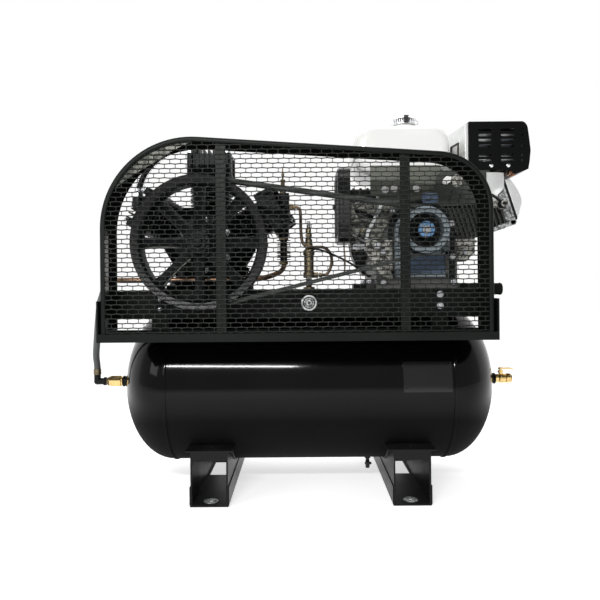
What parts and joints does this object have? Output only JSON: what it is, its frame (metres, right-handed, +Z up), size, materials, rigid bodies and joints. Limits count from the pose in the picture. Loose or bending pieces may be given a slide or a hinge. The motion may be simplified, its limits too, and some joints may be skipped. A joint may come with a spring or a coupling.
{
  "type": "air compressor",
  "caption": "Engine-driven air compressor: belt-driven multi-cylinder pump and petrol engine on a deck over a horizontal receiver tank, with a mesh belt guard.",
  "frame": {"origin": "centre of the bounding box's bottom face, on the floor under the feet", "axes": "+X along the tank towards the engine end, +Y from the belt guard to the back, +Z up"},
  "size_m": [1.134, 0.5074, 0.9683],
  "materials": {
    "black_gloss": "gloss",
    "black_satin": "satin",
    "black_iron": "satin",
    "black_pipe": "satin",
    "black_fins": "satin",
    "black_plastic": "matte",
    "black_rubber": "matte",
    "brass": "satin",
    "copper": "satin",
    "zinc": "satin",
    "steel": "satin",
    "cast_aluminium": "satin",
    "blue_aluminium": "satin",
    "cream_paint": "gloss",
    "red_plastic": "satin"
  },
  "bodies": {
    "frame": {"tank_shell": "black_gloss", "left_tank_head": "black_gloss", "right_tank_head": "black_gloss", "data_plate": "black_satin", "left_foot": "black_satin", "right_foot": "black_satin", "deck": "black_satin", "guard_hoop": "black_satin", "guard_mesh": "black_satin", "guard_strap_left": "black_satin", "guard_strap_right": "black_satin", "guard_pan": "black_satin", "muffler_shield": "black_satin", "pump_crankcase": "black_iron", "front_bearing_cover": "black_iron", "left_cylinder": "black_iron", "centre_cylinder": "black_iron", "right_cylinder": "black_iron", "left_head": "black_iron", "centre_head": "black_iron", "right_head": "black_iron", "inlet_elbow": "black_pipe", "intercooler": "black_pipe", "engine_cylinder": "black_fins", "left_intake_filter": "black_plastic", "right_intake_filter": "black_plastic", "fan_housing": "black_plastic", "recoil_cover": "black_plastic", "air_cleaner": "black_plastic", "front_belt": "black_rubber", "back_belt": "black_rubber", "discharge_hose": "black_rubber", "throttle_cable": "black_rubber", "check_valve": "brass", "outlet_valve_body": "brass", "drain_cock_body": "brass", "safety_valve": "brass", "pilot_valve": "brass", "aftercooler": "copper", "unloader_tube": "copper", "guard_badge": "zinc", "muffler_body": "steel", "engine_crankcase": "cast_aluminium", "rocker_cover": "cast_aluminium", "cylinder_cowl": "cast_aluminium", "carburettor": "cast_aluminium", "pto_cover": "blue_aluminium", "fuel_tank": "cream_paint"},
    "flywheel": {"flywheel": "black_iron", "pump_crankshaft": "steel"},
    "engine_pulley": {"engine_pulley": "black_iron", "engine_crankshaft": "steel"},
    "outlet_valve_lever": {"outlet_valve_lever": "brass"},
    "drain_cock_key": {"drain_cock_key": "brass"},
    "safety_valve_ring": {"safety_valve_ring": "brass"},
    "pilot_lever": {"pilot_lever": "zinc"},
    "recoil_grip": {"recoil_grip": "black_plastic"},
    "fuel_cap": {"fuel_cap": "zinc"},
    "choke_lever": {"choke_lever": "zinc"},
    "engine_switch": {"engine_switch": "red_plastic"}
  },
  "joints": [
    {"name": "flywheel_spin", "type": "hinge", "parent": "frame", "child": "flywheel", "pos_m": [-0.244, -0.19535, 0.61], "axis": [0, 1, 0], "continuous": true},
    {"name": "engine_pulley_spin", "type": "hinge", "parent": "frame", "child": "engine_pulley", "pos_m": [0.263, -0.19535, 0.634], "axis": [0, 1, 0], "continuous": true},
    {"name": "outlet_valve_turn", "type": "hinge", "parent": "frame", "child": "outlet_valve_lever", "pos_m": [0.5103, 0.03965, 0.2853], "axis": [0, 0, 1], "range_deg": [0, 90]},
    {"name": "drain_cock_turn", "type": "hinge", "parent": "frame", "child": "drain_cock_key", "pos_m": [0.156, 0.03365, 0.044], "axis": [0, 1, 0], "range_deg": [0, 90]},
    {"name": "safety_valve_pull", "type": "slide", "parent": "frame", "child": "safety_valve_ring", "axis": [0, 0, 1], "range_m": [0, 0.004], "stiffness_N_per_m": 800, "springref_m": -0.002},
    {"name": "pilot_lever_turn", "type": "hinge", "parent": "frame", "child": "pilot_lever", "pos_m": [0.004, -0.02035, 0.6603], "axis": [0, 0, 1], "range_deg": [0, 90]},
    {"name": "recoil_grip_pull", "type": "slide", "parent": "frame", "child": "recoil_grip", "axis": [-1, 0, 0], "range_m": [0, 0.07], "stiffness_N_per_m": 60, "springref_m": -0.1},
    {"name": "fuel_cap_turn", "type": "hinge", "parent": "frame", "child": "fuel_cap", "pos_m": [0.2665, 0.07965, 0.9413], "axis": [0, 0, 1], "range_deg": [0, 90]},
    {"name": "choke_turn", "type": "hinge", "parent": "frame", "child": "choke_lever", "pos_m": [0.145, 0.02615, 0.674], "axis": [0, 1, 0], "range_deg": [0, 60]},
    {"name": "engine_switch_turn", "type": "hinge", "parent": "frame", "child": "engine_switch", "pos_m": [0.395, 0.19995, 0.694], "axis": [0, 1, 0], "range_deg": [0, 90]}
  ],
  "couplings": [
    {"joint": "engine_pulley_spin", "follows": "flywheel_spin", "ratio": 2.96}
  ]
}
